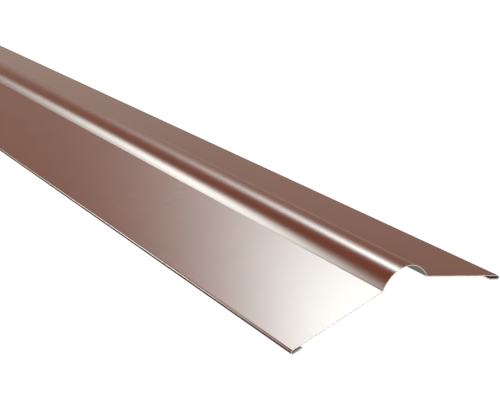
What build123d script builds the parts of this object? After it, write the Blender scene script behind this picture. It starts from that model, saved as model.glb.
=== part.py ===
from build123d import *

import os
from math import cos, radians, sin

# Roof ridge cap: one length of painted steel sheet, folded to section.
# Lengths are in millimetres and angles in degrees.
# X runs across the ridge, Y along it and Z is up.
# The origin is on the ground, midway along the cap and under its crest.

# Sheet and stock length
length = 2000.0
sheet_thickness = 0.7

# Half-round bead along the crest, sized on the weather face
bead_radius = 31.0
bead_flank_angle = 64.5

# Crease between the bead and each wing, inside radius on the weather face
crease_radius = 0.3

# Wings, each measured from its crease bend to the outermost edge of its hem
wing_width = 107.2
wing_slope = 15.0

# Open hem turned under each outer edge, measured over the outside of the fold
hem_height = 4.5
hem_width = 12.5

# The hem's nose is a half circle, tangent to the wing above and to the flap below
nose_radius = hem_height / 2
wing_flat = wing_width - nose_radius
flap_flat = hem_width - nose_radius

# Drops from the crest, bend by bend, down to the lowest line of the noses
slope = radians(wing_slope)
flank = radians(bead_flank_angle)
bead_drop = bead_radius * (1 - cos(flank))
crease_drop = crease_radius * (cos(slope) - cos(flank))
wing_drop = wing_flat * sin(slope)
nose_drop = nose_radius * (1 + cos(slope))
crest_height = bead_drop + crease_drop + wing_drop + nose_drop

os.makedirs("parts", exist_ok=True)

# The weather face is one smooth line from the crest to the flap's free edge, mirrored to the other side.
# The sheet's thickness is then laid inside that line.
with BuildPart() as ridge_cap:
    with BuildSketch(Plane.XZ) as section:
        with BuildLine() as weather_face:
            bead = JernArc((0, crest_height), (1, 0), bead_radius, -bead_flank_angle)
            crease = JernArc(bead @ 1, bead % 1, crease_radius, bead_flank_angle - wing_slope)
            wing = PolarLine(crease @ 1, wing_flat, direction=crease % 1)
            nose = JernArc(wing @ 1, wing % 1, nose_radius, -180)
            flap = PolarLine(nose @ 1, flap_flat, direction=nose % 1)
            offset(amount=sheet_thickness, side=Side.RIGHT, closed=True)
        make_face()
        mirror(about=Plane.YZ)
    extrude(amount=length / 2, both=True)

ridge_cap.part.label = "ridge_cap"
export_step(ridge_cap.part, "parts/ridge_cap.step")
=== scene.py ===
"""Dresses a roof ridge cap, one length of painted steel sheet folded to section, in a pale studio.

The sheet is built again as a fine surface with its paint, its backing coat and its sheared edges.
Lengths are in metres. X runs across the ridge, Y along it and Z is up, with the floor at Z = 0.
"""

import logging
from collections.abc import Mapping, Sequence
from dataclasses import dataclass, field
from enum import Enum
from math import cos, pi, radians, sin
from typing import Any

import bpy
import numpy as np
from mathutils import Euler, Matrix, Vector


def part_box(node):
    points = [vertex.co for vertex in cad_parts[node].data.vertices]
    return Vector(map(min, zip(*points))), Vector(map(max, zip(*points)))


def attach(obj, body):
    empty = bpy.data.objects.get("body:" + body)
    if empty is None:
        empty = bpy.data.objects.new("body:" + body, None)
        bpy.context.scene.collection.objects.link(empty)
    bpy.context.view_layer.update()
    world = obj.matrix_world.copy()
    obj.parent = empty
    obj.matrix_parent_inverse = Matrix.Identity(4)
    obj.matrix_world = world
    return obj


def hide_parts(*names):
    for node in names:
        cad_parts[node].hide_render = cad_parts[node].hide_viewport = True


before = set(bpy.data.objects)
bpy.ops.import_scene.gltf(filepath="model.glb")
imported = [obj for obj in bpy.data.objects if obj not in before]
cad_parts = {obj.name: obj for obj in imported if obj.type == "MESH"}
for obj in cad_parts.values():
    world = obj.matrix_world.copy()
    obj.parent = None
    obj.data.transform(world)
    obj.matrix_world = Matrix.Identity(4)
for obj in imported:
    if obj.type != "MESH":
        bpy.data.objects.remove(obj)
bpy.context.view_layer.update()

LOG = logging.getLogger("ridge_cap")

CAD_NODE = "ridge_cap"
BODY = "root"

MILLIMETRE = 0.001
MICROMETRE = 0.000001

# Random values swing about this middle
NOISE_MIDDLE = 0.5

Colour = tuple[float, float, float]


class Side(Enum):
    """What a face of the sheet shows. The value is the face's material slot."""

    WEATHER = 0
    BACK = 1
    CUT = 2


class Signal:
    """A shader socket that Python expressions can add to, scale and compare."""

    def __init__(self, bench: "Bench", socket: bpy.types.NodeSocket) -> None:
        """Keeps the socket and the bench that its nodes are made on."""
        self.bench = bench
        self.socket = socket

    def _math(self, operation: str, *operands: "Signal | float") -> "Signal":
        """Adds one Math node, fed with signals or plain numbers in their order."""
        return self.bench.node("ShaderNodeMath", {"operation": operation}, dict(enumerate(operands)))

    def __add__(self, other: "Signal | float") -> "Signal":
        """This signal plus another."""
        return self._math("ADD", self, other)

    def __radd__(self, other: float) -> "Signal":
        """A number plus this signal."""
        return self._math("ADD", other, self)

    def __sub__(self, other: "Signal | float") -> "Signal":
        """This signal less another."""
        return self._math("SUBTRACT", self, other)

    def __mul__(self, other: "Signal | float") -> "Signal":
        """This signal times another."""
        return self._math("MULTIPLY", self, other)

    def __rmul__(self, other: float) -> "Signal":
        """A number times this signal."""
        return self._math("MULTIPLY", other, self)

    def exp(self) -> "Signal":
        """The exponential of this signal."""
        return self._math("EXPONENT", self)

    def at_least(self, low: float) -> "Signal":
        """This signal, raised to a lowest value."""
        return self._math("MAXIMUM", self, low)

    def step_to(self, low: float, high: float) -> "Signal":
        """A smooth step, for a signal that is a number.

        Args:
            low: where the step starts to rise from 0.
            high: where it reaches 1.

        Returns:
            The step's value.
        """
        settings = {"interpolation_type": "SMOOTHSTEP"}
        inputs = {"Value": self, "From Min": low, "From Max": high}
        return self.bench.node("ShaderNodeMapRange", settings, inputs)

    def dot(self, axis: Vector) -> "Signal":
        """How far this vector points along a fixed axis."""
        settings = {"operation": "DOT_PRODUCT"}
        return self.bench.node("ShaderNodeVectorMath", settings, {0: self, 1: tuple(axis)}, "Value")

    def stretched(self, factors: Sequence[float]) -> "Signal":
        """This vector with each of its parts scaled by its own factor."""
        settings = {"operation": "MULTIPLY"}
        return self.bench.node("ShaderNodeVectorMath", settings, {0: self, 1: tuple(factors)})


def tinted(colour: Colour, factor: float) -> Colour:
    """A colour made lighter or darker by one factor."""
    return tuple(part * factor for part in colour)


class Bench:
    """One node tree, and the one way in which this file adds nodes to it."""

    # Places of the Mix node's colour sockets
    MIX_FIRST = 6
    MIX_SECOND = 7
    MIX_RESULT = 2

    def __init__(self, tree: bpy.types.NodeTree) -> None:
        """Empties the node tree of a material or of the world, and keeps it."""
        tree.nodes.clear()
        self.tree = tree

    def node(
        self,
        kind: str,
        settings: Mapping[str, Any] | None = None,
        inputs: Mapping[int | str, Any] | None = None,
        output: int | str = 0,
    ) -> Signal:
        """Adds one node, sets it up and feeds it.

        Args:
            kind: the node's type.
            settings: the node's own options, set before its inputs.
            inputs: a value or a signal for each socket, by its name or place.
            output: the name or place of the socket to hand back.

        Returns:
            The chosen output.
        """
        made = self.tree.nodes.new(kind)
        for name, value in (settings or {}).items():
            setattr(made, name, value)
        for key, value in (inputs or {}).items():
            if isinstance(value, Signal):
                self.tree.links.new(value.socket, made.inputs[key])
            else:
                made.inputs[key].default_value = value
        return Signal(self, made.outputs[output])

    def finish(self, kind: str, surface: Signal) -> None:
        """Ends the tree in an output node of this type, which shows the surface."""
        made = self.tree.nodes.new(kind)
        self.tree.links.new(surface.socket, made.inputs["Surface"])

    def noise(self, place: Signal, size: float, detail: float = 2.0) -> Signal:
        """Smooth random values from about 0 to 1, which change over a size in metres."""
        inputs = {"Vector": place, "Scale": 1 / size, "Detail": detail}
        return self.node("ShaderNodeTexNoise", {}, inputs)

    def blend(self, share: Signal, first: Colour, second: Colour) -> Signal:
        """A colour between two: the first where the share is 0 and the second where it is 1."""
        inputs = {"Factor": share, self.MIX_FIRST: (*first, 1.0), self.MIX_SECOND: (*second, 1.0)}
        return self.node("ShaderNodeMix", {"data_type": "RGBA"}, inputs, self.MIX_RESULT)

    def shades(self, share: Signal, colour: Colour, change: float) -> Signal:
        """A colour made darker by its change where the share is 0, and lighter by it at 1."""
        return self.blend(share, tinted(colour, 1 - change), tinted(colour, 1 + change))

    def bump(self, height: Signal, depth: float) -> Signal:
        """A normal that leans with a height from 0 to 1, where 1 is as high as the depth."""
        return self.node("ShaderNodeBump", {}, {"Strength": 1.0, "Distance": depth, "Height": height})


def material_bench(name: str) -> tuple[bpy.types.Material, Bench]:
    """Makes an empty material.

    Args:
        name: what the material is called.

    Returns:
        The material and the bench on its node tree.
    """
    material = bpy.data.materials.new(name)
    material.use_nodes = True
    return material, Bench(material.node_tree)


@dataclass(frozen=True)
class TopCoat:
    """Satin polyester paint on the weather side, rolled on while the sheet was still flat."""

    colour: Colour = (0.0965, 0.0145, 0.0034)
    shade_change: float = 0.05
    cloud_size: float = 60 * MILLIMETRE
    cloud_low: float = 0.3
    cloud_high: float = 0.7
    roughness: float = 0.22
    roughness_change: float = 0.03
    streak_width: float = 4 * MILLIMETRE
    streak_stretch: float = 60.0
    peel_size: float = 1.6 * MILLIMETRE
    peel_depth: float = 4 * MICROMETRE
    ior: float = 1.5

    def material(self, blank_map: str) -> bpy.types.Material:
        """Builds the paint on the flat blank's own map, so that its pattern follows every fold.

        The colour drifts in wide soft clouds. The gloss varies in long thin streaks along the roller's
        travel. Orange peel, a fine soft unevenness of the wet film, leans the normal.

        Args:
            blank_map: the UV map that unrolls the sheet, in metres.

        Returns:
            The material.
        """
        material, bench = material_bench("top_coat")
        blank = bench.node("ShaderNodeUVMap", {"uv_map": blank_map})
        clouds = bench.noise(blank, self.cloud_size).step_to(self.cloud_low, self.cloud_high)
        drawn_out = blank.stretched((1.0, 1 / self.streak_stretch, 1.0))
        streaks = bench.noise(drawn_out, self.streak_width)
        peel = bench.noise(blank, self.peel_size, detail=1.0)
        paint = {
            "Base Color": bench.shades(clouds, self.colour, self.shade_change),
            "Roughness": self.roughness + self.roughness_change * (streaks - NOISE_MIDDLE),
            "IOR": self.ior,
            "Normal": bench.bump(peel, self.peel_depth),
        }
        bench.finish("ShaderNodeOutputMaterial", bench.node("ShaderNodeBsdfPrincipled", {}, paint))
        return material


@dataclass(frozen=True)
class BackingCoat:
    """Thin grey-green epoxy on the back of the sheet, flatter and less even than the top coat."""

    colour: Colour = (0.38, 0.385, 0.35)
    shade_change: float = 0.08
    mottle_size: float = 9 * MILLIMETRE
    roughness: float = 0.42
    roughness_change: float = 0.08
    peel_size: float = 0.9 * MILLIMETRE
    peel_depth: float = 6 * MICROMETRE
    ior: float = 1.5

    def material(self, blank_map: str) -> bpy.types.Material:
        """Builds the coat: mottled colour and gloss, and a fine grain in its normal.

        Args:
            blank_map: the UV map that unrolls the sheet, in metres.

        Returns:
            The material.
        """
        material, bench = material_bench("backing_coat")
        blank = bench.node("ShaderNodeUVMap", {"uv_map": blank_map})
        mottle = bench.noise(blank, self.mottle_size, detail=4.0)
        peel = bench.noise(blank, self.peel_size)
        coat = {
            "Base Color": bench.shades(mottle, self.colour, self.shade_change),
            "Roughness": self.roughness + self.roughness_change * (mottle - NOISE_MIDDLE),
            "IOR": self.ior,
            "Normal": bench.bump(peel, self.peel_depth),
        }
        bench.finish("ShaderNodeOutputMaterial", bench.node("ShaderNodeBsdfPrincipled", {}, coat))
        return material


@dataclass(frozen=True)
class ShearedEdge:
    """Bare zinc-coated steel where the sheet was cut: a burnished band, then a duller torn one."""

    burnished: Colour = (0.86, 0.85, 0.82)
    torn: Colour = (0.76, 0.75, 0.72)
    burnished_share: float = 0.4
    blur: float = 0.12
    burnished_roughness: float = 0.5
    torn_roughness: float = 0.7
    metallic: float = 0.1
    tear_size: float = 0.15 * MILLIMETRE
    tear_depth: float = 12 * MICROMETRE

    def material(self, depth_name: str) -> bpy.types.Material:
        """Builds the edge from how deep each point lies in the sheet's thickness.

        Args:
            depth_name: the attribute that runs from 0 on the weather side to 1 on the back.

        Returns:
            The material.
        """
        material, bench = material_bench("sheared_edge")
        depth = bench.node("ShaderNodeAttribute", {"attribute_name": depth_name}, output="Fac")
        place = bench.node("ShaderNodeTexCoord", output="Object")
        tears = bench.noise(place, self.tear_size, detail=3.0)
        limit = self.burnished_share
        ragged = depth + self.blur * (tears - NOISE_MIDDLE)
        torn = ragged.step_to(limit - self.blur, limit + self.blur)
        duller = self.torn_roughness - self.burnished_roughness
        steel = {
            "Base Color": bench.blend(torn, self.burnished, self.torn),
            "Roughness": self.burnished_roughness + duller * torn,
            "Metallic": self.metallic,
            "Normal": bench.bump(tears * torn, self.tear_depth),
        }
        bench.finish("ShaderNodeOutputMaterial", bench.node("ShaderNodeBsdfPrincipled", {}, steel))
        return material


@dataclass(frozen=True)
class StudioPaper:
    """White paper lit through from below, seen only from its upper side."""

    colour: Colour = (0.04, 0.04, 0.04)
    glow_colour: Colour = (1.0, 1.0, 1.0)
    glow: float = 0.985
    roughness: float = 0.9
    fibre_size: float = 3 * MILLIMETRE
    fibre_change: float = 0.02

    def material(self) -> bpy.types.Material:
        """Builds the paper.

        Its own glow makes it white, and its thin grey takes almost no shadow. From underneath it is
        clear, so that the part can be looked at from below.

        Returns:
            The material.
        """
        material, bench = material_bench("studio_paper")
        place = bench.node("ShaderNodeTexCoord", output="Object")
        fibres = bench.noise(place, self.fibre_size)
        paper = {
            "Base Color": bench.shades(fibres, self.colour, self.fibre_change),
            "Roughness": self.roughness,
            "Emission Color": (*self.glow_colour, 1.0),
            "Emission Strength": self.glow,
        }
        shown = bench.node("ShaderNodeBsdfPrincipled", {}, paper)
        clear = bench.node("ShaderNodeBsdfTransparent")
        behind = bench.node("ShaderNodeNewGeometry", output="Backfacing")
        one_sided = bench.node("ShaderNodeMixShader", {}, {0: behind, 1: shown, 2: clear})
        bench.finish("ShaderNodeOutputMaterial", one_sided)
        return material


@dataclass(frozen=True)
class Stroke:
    """One stretch of the section: a straight run, or an arc that turns the line by an angle."""

    run: float
    turn: float
    steps: int

    def points(self, start: np.ndarray, heading: float) -> tuple[np.ndarray, np.ndarray]:
        """Walks along the stroke.

        On an arc the heading grows evenly with the distance walked, so the place is the start plus the
        change of (sine, minus cosine) of the heading, divided by the turn made in each metre.

        Args:
            start: where the stroke starts, across and up.
            heading: the direction there, in radians from level.

        Returns:
            The points after the start, and the heading at each.
        """
        share = np.arange(1, self.steps + 1) / self.steps
        headings = heading + self.turn * share
        if self.turn:
            bend = self.turn / self.run
            across = np.sin(headings) - sin(heading)
            up = cos(heading) - np.cos(headings)
            return start + np.stack([across, up], axis=1) / bend, headings
        along = np.array([cos(heading), sin(heading)])
        return start + self.run * share[:, None] * along, headings


def arc(radius: float, turn: float, steps: int) -> Stroke:
    """An arc of a given radius. A negative turn bends the line down to the right."""
    return Stroke(run=radius * abs(turn), turn=turn, steps=steps)


@dataclass(frozen=True)
class SheetLine:
    """The weather face of half the section, from the crest to the flap's free edge.

    Each field has one row for each point: the place, the direction away from the sheet, the direction
    of travel and the distance walked from the crest.
    """

    points: np.ndarray
    normals: np.ndarray
    travel: np.ndarray
    walked: np.ndarray


@dataclass
class RidgeCap:
    """The folded sheet: a half-round bead on the crest, two creases, two wings and two open hems."""

    half_width: float
    near_end: float
    far_end: float
    sheet_thickness: float = 0.7 * MILLIMETRE
    bead_radius: float = 31.0 * MILLIMETRE
    bead_flank: float = radians(64.5)
    crease_radius: float = 0.3 * MILLIMETRE
    wing_slope: float = radians(15.0)
    hem_height: float = 4.5 * MILLIMETRE
    hem_width: float = 12.5 * MILLIMETRE
    edge_rounding: float = 0.08 * MILLIMETRE
    bead_steps: int = 56
    crease_steps: int = 10
    wing_steps: int = 8
    nose_steps: int = 24
    flap_steps: int = 3
    rounding_steps: int = 3
    length_steps: int = 40
    blank_map: str = "blank"
    depth_name: str = "depth"
    top_coat: TopCoat = field(default_factory=TopCoat)
    backing_coat: BackingCoat = field(default_factory=BackingCoat)
    sheared_edge: ShearedEdge = field(default_factory=ShearedEdge)

    @classmethod
    def over(cls, node: str) -> "RidgeCap":
        """Makes a cap as wide and as long as the solid that it stands for."""
        low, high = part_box(node)
        return cls(half_width=high.x, near_end=low.y, far_end=high.y)

    @property
    def nose_radius(self) -> float:
        """The hem's nose is a half circle between the wing and the flap."""
        return self.hem_height / 2

    @property
    def wing_flat(self) -> float:
        """The straight part of a wing, found from the half width.

        Across the section, the bead reaches its radius times the sine of its flank, the crease its
        radius times the flank's sine less the slope's, and the nose its radius times one less the
        slope's sine. The wing's run times the cosine of its slope fills the rest.

        Returns:
            The length of the straight part, along the slope.
        """
        bead = self.bead_radius * sin(self.bead_flank)
        crease = self.crease_radius * (sin(self.bead_flank) - sin(self.wing_slope))
        nose = self.nose_radius * (1 - sin(self.wing_slope))
        return (self.half_width - bead - crease - nose) / cos(self.wing_slope)

    @property
    def crest_height(self) -> float:
        """How high the crest stands: the drops of the bead, the crease, the wing and the nose together.

        The bead drops by its radius times one less the flank's cosine, the crease by its radius times
        the slope's cosine less the flank's, the wing by its run times the slope's sine, and the nose
        by its radius times one plus the slope's cosine.

        Returns:
            The height above the floor.
        """
        bead = self.bead_radius * (1 - cos(self.bead_flank))
        crease = self.crease_radius * (cos(self.wing_slope) - cos(self.bead_flank))
        wing = self.wing_flat * sin(self.wing_slope)
        nose = self.nose_radius * (1 + cos(self.wing_slope))
        return bead + crease + wing + nose

    def weather_line(self) -> SheetLine:
        """Walks the weather face from the crest to the flap's free edge, fold by fold.

        Returns:
            The right half of the line.
        """
        strokes = (
            arc(self.bead_radius, -self.bead_flank, self.bead_steps),
            arc(self.crease_radius, self.bead_flank - self.wing_slope, self.crease_steps),
            Stroke(self.wing_flat, 0.0, self.wing_steps),
            arc(self.nose_radius, -pi, self.nose_steps),
            Stroke(self.hem_width - self.nose_radius - self.edge_rounding, 0.0, self.flap_steps),
        )
        points = [np.array([[0.0, self.crest_height]])]
        headings = [np.zeros(1)]
        walked = [np.zeros(1)]
        for stroke in strokes:
            stretch, turned = stroke.points(points[-1][-1], headings[-1][-1])
            points.append(stretch)
            headings.append(turned)
            walked.append(walked[-1][-1] + stroke.run * np.arange(1, stroke.steps + 1) / stroke.steps)
        heading = np.concatenate(headings)
        return SheetLine(
            points=np.concatenate(points),
            normals=np.stack([-np.sin(heading), np.cos(heading)], axis=1),
            travel=np.stack([np.cos(heading), np.sin(heading)], axis=1),
            walked=np.concatenate(walked),
        )

    def half_faces(self, line: SheetLine) -> tuple[np.ndarray, np.ndarray, np.ndarray]:
        """Lays the thickness inside the weather line and rounds the flap's two corners.

        The back lies one thickness along the inward normal. Each corner is a quarter circle that turns
        the normal from square to the sheet into the direction of travel.

        Args:
            line: the right half of the weather line.

        Returns:
            Places and normals, each by face (weather, back), point and axis, and the distance walked.
        """
        turn = np.linspace(0, pi / 2, self.rounding_steps + 1)[1:, None]
        square, onward = line.normals[-1], line.travel[-1]
        round_off = self.edge_rounding
        walked = np.concatenate([line.walked, line.walked[-1] + round_off * np.sin(turn[:, 0])])
        places, normals = [], []
        for outward, drop in ((1.0, 0.0), (-1.0, self.sheet_thickness)):
            face = line.points - drop * line.normals
            corner_normals = outward * square * np.cos(turn) + onward * np.sin(turn)
            corner = face[-1] - outward * round_off * square + round_off * corner_normals
            places.append(np.concatenate([face, corner]))
            normals.append(np.concatenate([outward * line.normals, corner_normals]))
        return np.stack(places), np.stack(normals), walked

    def whole_faces(self) -> tuple[np.ndarray, np.ndarray, np.ndarray]:
        """Adds the left half, which is the right one mirrored across the ridge.

        Returns:
            Places and normals, each by face (weather, back), point and axis, and the distance walked.
        """
        places, normals, walked = self.half_faces(self.weather_line())
        mirror = np.array([-1.0, 1.0])
        left = slice(None, 0, -1)
        return (
            np.concatenate([places[:, left] * mirror, places], axis=1),
            np.concatenate([normals[:, left] * mirror, normals], axis=1),
            np.concatenate([-walked[left], walked]),
        )

    def stations(self) -> tuple[np.ndarray, np.ndarray]:
        """Places the rings along the cap, close together where its two ends round over.

        Returns:
            Each ring's place along the cap, and how far its normals have turned towards the cap's end,
            from a quarter turn back at the near end to a quarter turn forward at the far one.
        """
        turn = np.linspace(0, pi / 2, self.rounding_steps + 1)
        near = self.near_end + self.edge_rounding
        far = self.far_end - self.edge_rounding
        middle = np.linspace(near, far, self.length_steps + 1)
        round_off = self.edge_rounding * np.sin(turn[1:])
        along = np.concatenate([near - round_off[::-1], middle, far + round_off])
        turned = np.concatenate([-turn[:0:-1], np.zeros(len(middle)), turn[1:]])
        return along, turned

    def surface(self) -> tuple[np.ndarray, np.ndarray, np.ndarray, np.ndarray]:
        """Carries the closed section along the cap.

        A ring is the section drawn in by the rounding times one less the cosine of its turn, and its
        normals lean towards the cap's end by that turn.

        Returns:
            Places and normals by ring, loop point and axis, the blank's coordinates by ring and loop
            point, and each loop point's depth in the thickness.
        """
        places, normals, walked = self.whole_faces()
        loop = np.concatenate([places[0], places[1, ::-1]])
        outward = np.concatenate([normals[0], normals[1, ::-1]])
        along, turned = self.stations()
        drawn_in = self.edge_rounding * (1 - np.cos(turned))
        flat = loop[None] - drawn_in[:, None, None] * outward[None]
        shape = (len(along), len(loop))
        points = np.stack([flat[..., 0], np.broadcast_to(along[:, None], shape), flat[..., 1]], axis=-1)
        lean = np.cos(turned)[:, None, None] * outward[None]
        forward = np.broadcast_to(np.sin(turned)[:, None], shape)
        directions = np.stack([lean[..., 0], forward, lean[..., 1]], axis=-1)
        girth = np.concatenate([walked, walked[::-1]])
        blank = np.stack(np.broadcast_arrays(girth[None], along[:, None]), axis=-1)
        depth = np.concatenate([np.zeros(len(walked)), np.ones(len(walked))])
        return points, directions, blank, depth

    def faces(self, rings: int, loop: int) -> tuple[np.ndarray, np.ndarray]:
        """Joins the rings with four-sided faces and closes both ends across the thickness.

        Args:
            rings: how many rings there are.
            loop: how many points each ring has.

        Returns:
            The corners of each face, counter-clockwise from outside, and what each face shows.
        """
        here = np.arange(loop)
        onward = (here + 1) % loop
        ring = loop * np.arange(rings - 1)[:, None]
        ahead = ring + loop
        walls = np.stack([ring + here, ring + onward, ahead + onward, ahead + here], axis=-1)

        half = loop // 2
        corner = self.rounding_steps
        sides = np.full(loop, Side.CUT.value)
        sides[corner : half - 1 - corner] = Side.WEATHER.value
        sides[half + corner : loop - 1 - corner] = Side.BACK.value
        shows = np.tile(sides, (rings - 1, 1))
        shows[: self.rounding_steps] = Side.CUT.value
        shows[rings - 1 - self.rounding_steps :] = Side.CUT.value

        weather = np.arange(half - 1)
        back = loop - 1 - weather
        near = np.stack([weather, back, back - 1, weather + 1], axis=-1)
        far = loop * (rings - 1) + near[:, ::-1]
        quads = np.concatenate([walls.reshape(-1, 4), near, far])
        ends = np.full(2 * len(near), Side.CUT.value)
        return quads, np.concatenate([shows.ravel(), ends])

    def mesh(self) -> bpy.types.Mesh:
        """Puts the surface into a mesh, with its blank map, its depths and its true normals.

        Returns:
            The mesh.
        """
        points, directions, blank, depth = self.surface()
        rings, loop = points.shape[:2]
        quads, shows = self.faces(rings, loop)
        mesh = bpy.data.meshes.new(CAD_NODE)
        mesh.from_pydata(points.reshape(-1, 3), [], quads)
        mesh.polygons.foreach_set("material_index", shows)
        mesh.shade_smooth()
        corners = mesh.uv_layers.new(name=self.blank_map)
        corners.uv.foreach_set("vector", blank.reshape(-1, 2)[quads.ravel()].astype(np.float32).ravel())
        depths = mesh.attributes.new(self.depth_name, "FLOAT", "POINT")
        depths.data.foreach_set("value", np.tile(depth, rings).astype(np.float32))
        mesh.normals_split_custom_set_from_vertices(directions.reshape(-1, 3))
        mesh.update()
        return mesh

    def dress(self, mesh: bpy.types.Mesh) -> None:
        """Gives the mesh its three finishes, in the order of the sides.

        Args:
            mesh: the finished sheet.
        """
        finishes = {
            Side.WEATHER: self.top_coat.material(self.blank_map),
            Side.BACK: self.backing_coat.material(self.blank_map),
            Side.CUT: self.sheared_edge.material(self.depth_name),
        }
        for side in Side:
            mesh.materials.append(finishes[side])

    def build(self) -> bpy.types.Object:
        """Makes the dressed sheet and lets it stand for its solid.

        Returns:
            The sheet.
        """
        mesh = self.mesh()
        self.dress(mesh)
        sheet = bpy.data.objects.new("folded_sheet", mesh)
        bpy.context.scene.collection.objects.link(sheet)
        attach(sheet, BODY)
        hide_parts(CAD_NODE)
        return sheet


@dataclass(frozen=True)
class SoftLight:
    """A far soft light with a bright middle that fades evenly outwards."""

    bearing: float
    elevation: float
    brightness: float
    spread: float

    def glow(self, bench: Bench, direction: Signal) -> Signal:
        """The light seen in each direction.

        It is the brightness times the exponential of (the cosine of the angle from the light's middle,
        less one) divided by the square of the spread in radians.

        Args:
            bench: where the nodes are made.
            direction: the direction looked in.

        Returns:
            The light's radiance.
        """
        middle = compass(self.bearing, self.elevation)
        sharpness = 1 / radians(self.spread) ** 2
        return self.brightness * ((direction.dot(middle) - 1.0) * sharpness).exp()


@dataclass(frozen=True)
class LightBank:
    """Soft lights behind gels of one tint."""

    tint: Colour
    lights: tuple[SoftLight, ...]

    def shader(self, bench: Bench, direction: Signal) -> Signal:
        """The bank's light in each direction, all its lights added up and tinted.

        Args:
            bench: where the nodes are made.
            direction: the direction looked in.

        Returns:
            The background that the bank makes.
        """
        strength = sum((light.glow(bench, direction) for light in self.lights), start=0.0)
        inputs = {"Color": (*self.tint, 1.0), "Strength": strength}
        return bench.node("ShaderNodeBackground", {}, inputs)


def compass(bearing: float, elevation: float) -> Vector:
    """Turns two angles into a direction.

    Its height is the sine of the elevation. Its level part, the elevation's cosine, is shared out by
    the bearing's sine across the ridge and the bearing's cosine along it.

    Args:
        bearing: degrees clockwise from +Y, seen from above.
        elevation: degrees above the horizon.

    Returns:
        The direction, one long.
    """
    level = cos(radians(elevation))
    across = level * sin(radians(bearing))
    along = level * cos(radians(bearing))
    return Vector((across, along, sin(radians(elevation))))


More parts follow.
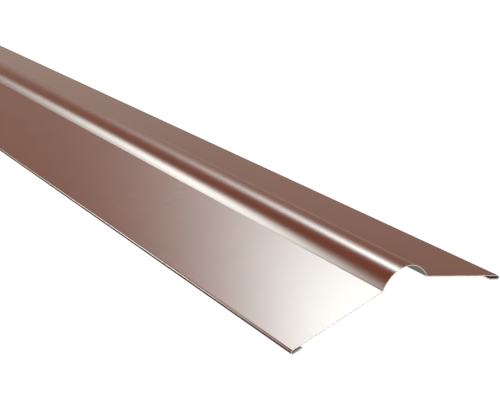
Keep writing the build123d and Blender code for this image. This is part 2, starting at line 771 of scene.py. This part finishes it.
@dataclass
class Studio:
    """A white floor in a dim room, with banks of soft lights round the part.

    The bead and the wings mirror the left bank and the right bank. The fill bank lights the near end's
    cut edges, the hems and the underside. The warm bank is a low glow that the bead's far flank mirrors.
    """

    floor_reach: float = 60.0
    room_ahead: float = 0.43
    room_overhead: float = 0.636
    room_underfoot: float = 0.05
    room_fall: float = 0.8
    room_tilt: float = 0.42
    room_turn: float = 2.24
    room_behind: float = 0.25
    room_turn_level: float = 0.75
    room_tint: Colour = (1.0, 0.876, 0.752)
    left_bank: LightBank = LightBank(
        tint=(0.952, 1.0, 0.933),
        lights=(
            SoftLight(bearing=-30.1, elevation=21.8, brightness=19.1, spread=4.4),
            SoftLight(bearing=-38.2, elevation=14.0, brightness=21.0, spread=5.3),
            SoftLight(bearing=-22.4, elevation=24.3, brightness=6.96, spread=3.7),
        ),
    )
    right_bank: LightBank = LightBank(
        tint=(0.896, 1.0, 0.981),
        lights=(
            SoftLight(bearing=22.0, elevation=48.6, brightness=30.4, spread=4.5),
            SoftLight(bearing=25.2, elevation=39.3, brightness=5.65, spread=6.3),
            SoftLight(bearing=29.8, elevation=20.4, brightness=0.28, spread=6.9),
        ),
    )
    fill_bank: LightBank = LightBank(
        tint=(1.0, 0.98, 0.95),
        lights=(
            SoftLight(bearing=-125.0, elevation=50.0, brightness=0.6, spread=14.0),
            SoftLight(bearing=165.0, elevation=60.0, brightness=14.5, spread=10.0),
            SoftLight(bearing=180.0, elevation=-60.0, brightness=2.4, spread=20.0),
            SoftLight(bearing=0.0, elevation=-90.0, brightness=0.3, spread=28.0),
        ),
    )
    warm_bank: LightBank = LightBank(
        tint=(1.0, 0.24, 0.06),
        lights=(SoftLight(bearing=48.0, elevation=-11.5, brightness=0.13, spread=7.2),),
    )
    paper: StudioPaper = field(default_factory=StudioPaper)

    def walls(self, direction: Signal) -> Signal:
        """How bright the bare room is in each direction.

        Above the horizon the brightness goes from its value ahead to its value overhead with the
        direction's height. Below it falls to the small share left underfoot, in a smooth step as deep
        as the room's fall. That step is measured on the height plus the room's tilt times how far the
        direction points right, so it lies lower on the right. All of this is scaled by one plus the
        room's turn times how far the direction points ahead, kept from falling below the share left
        behind, and divided by what that gives at the turn's level.

        Args:
            direction: the direction looked in.

        Returns:
            The room's radiance.
        """
        height = direction.dot(Vector((0.0, 0.0, 1.0)))
        ahead = direction.dot(Vector((0.0, 1.0, 0.0)))
        upper = self.room_ahead + (self.room_overhead - self.room_ahead) * height.at_least(0.0)
        level = direction.dot(Vector((self.room_tilt, 0.0, 1.0)))
        lower = self.room_underfoot + (1 - self.room_underfoot) * level.step_to(-self.room_fall, 0.0)
        turned = (1 + self.room_turn * ahead).at_least(self.room_behind)
        return upper * lower * turned * (1 / (1 + self.room_turn_level * self.room_turn))

    def light(self) -> None:
        """Lights the room: its dim walls and its banks of soft lights, all added up."""
        world = bpy.data.worlds.new("studio")
        world.use_nodes = True
        bpy.context.scene.world = world
        bench = Bench(world.node_tree)
        direction = bench.node("ShaderNodeTexCoord", output="Generated")
        room = {"Color": (*self.room_tint, 1.0), "Strength": self.walls(direction)}
        whole = bench.node("ShaderNodeBackground", {}, room)
        for bank in (self.left_bank, self.right_bank, self.fill_bank, self.warm_bank):
            added = bank.shader(bench, direction)
            whole = bench.node("ShaderNodeAddShader", {}, {0: whole, 1: added})
        bench.finish("ShaderNodeOutputWorld", whole)

    def lay_floor(self) -> bpy.types.Object:
        """Lays the paper under the part, as a square that reaches as far each way.

        The camera sees the floor, but the part doesn't mirror it and gets neither light nor shade from
        it, so the lights below the floor reach the underside.

        Returns:
            The floor.
        """
        around = np.array([(-1, -1, 0), (1, -1, 0), (1, 1, 0), (-1, 1, 0)])
        mesh = bpy.data.meshes.new("floor")
        mesh.from_pydata(self.floor_reach * around, [], [(0, 1, 2, 3)])
        mesh.materials.append(self.paper.material())
        floor = bpy.data.objects.new("floor", mesh)
        floor.visible_glossy = False
        floor.visible_diffuse = False
        floor.visible_shadow = False
        bpy.context.scene.collection.objects.link(floor)
        return floor


@dataclass
class StudioCamera:
    """The camera, placed from the ridge line and the cap's near end."""

    left_of_ridge: float = 0.5587
    before_near_end: float = 0.5546
    height: float = 0.4122
    bearing: float = 34.746
    look_down: float = 21.065
    focal_length: float = 67.2
    sensor_width: float = 36.0
    nearest: float = 0.05
    farthest: float = 200.0

    def place(self, near_end: float) -> bpy.types.Object:
        """Sets the camera up and makes it the scene's own.

        Args:
            near_end: where the cap's near end lies along the ridge.

        Returns:
            The camera.
        """
        lens = bpy.data.cameras.new("camera")
        lens.sensor_fit = "HORIZONTAL"
        lens.sensor_width = self.sensor_width
        lens.lens = self.focal_length
        lens.clip_start = self.nearest
        lens.clip_end = self.farthest
        camera = bpy.data.objects.new("camera", lens)
        camera.location = (-self.left_of_ridge, near_end - self.before_near_end, self.height)
        camera.rotation_euler = Euler((radians(90 - self.look_down), 0.0, -radians(self.bearing)))
        bpy.context.scene.collection.objects.link(camera)
        bpy.context.scene.camera = camera
        return camera


def main() -> None:
    """Builds the cap, the studio and the camera in turn."""
    logging.basicConfig(level=logging.INFO, format="%(name)s: %(message)s")
    LOG.info("the frame holds %s", ", ".join(sorted(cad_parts)))
    bpy.context.scene.view_settings.view_transform = "Standard"

    cap = RidgeCap.over(CAD_NODE)
    sheet = cap.build()
    LOG.info("%s: %d faces", sheet.name, len(sheet.data.polygons))
    LOG.info("%s: crest %.2f mm high", sheet.name, cap.crest_height / MILLIMETRE)

    studio = Studio()
    studio.light()
    floor = studio.lay_floor()
    LOG.info("%s: %.0f m across", floor.name, 2 * studio.floor_reach)

    camera = StudioCamera().place(cap.near_end)
    LOG.info("%s: %.1f mm lens", camera.name, camera.data.lens)


if __name__ == "__main__":
    main()
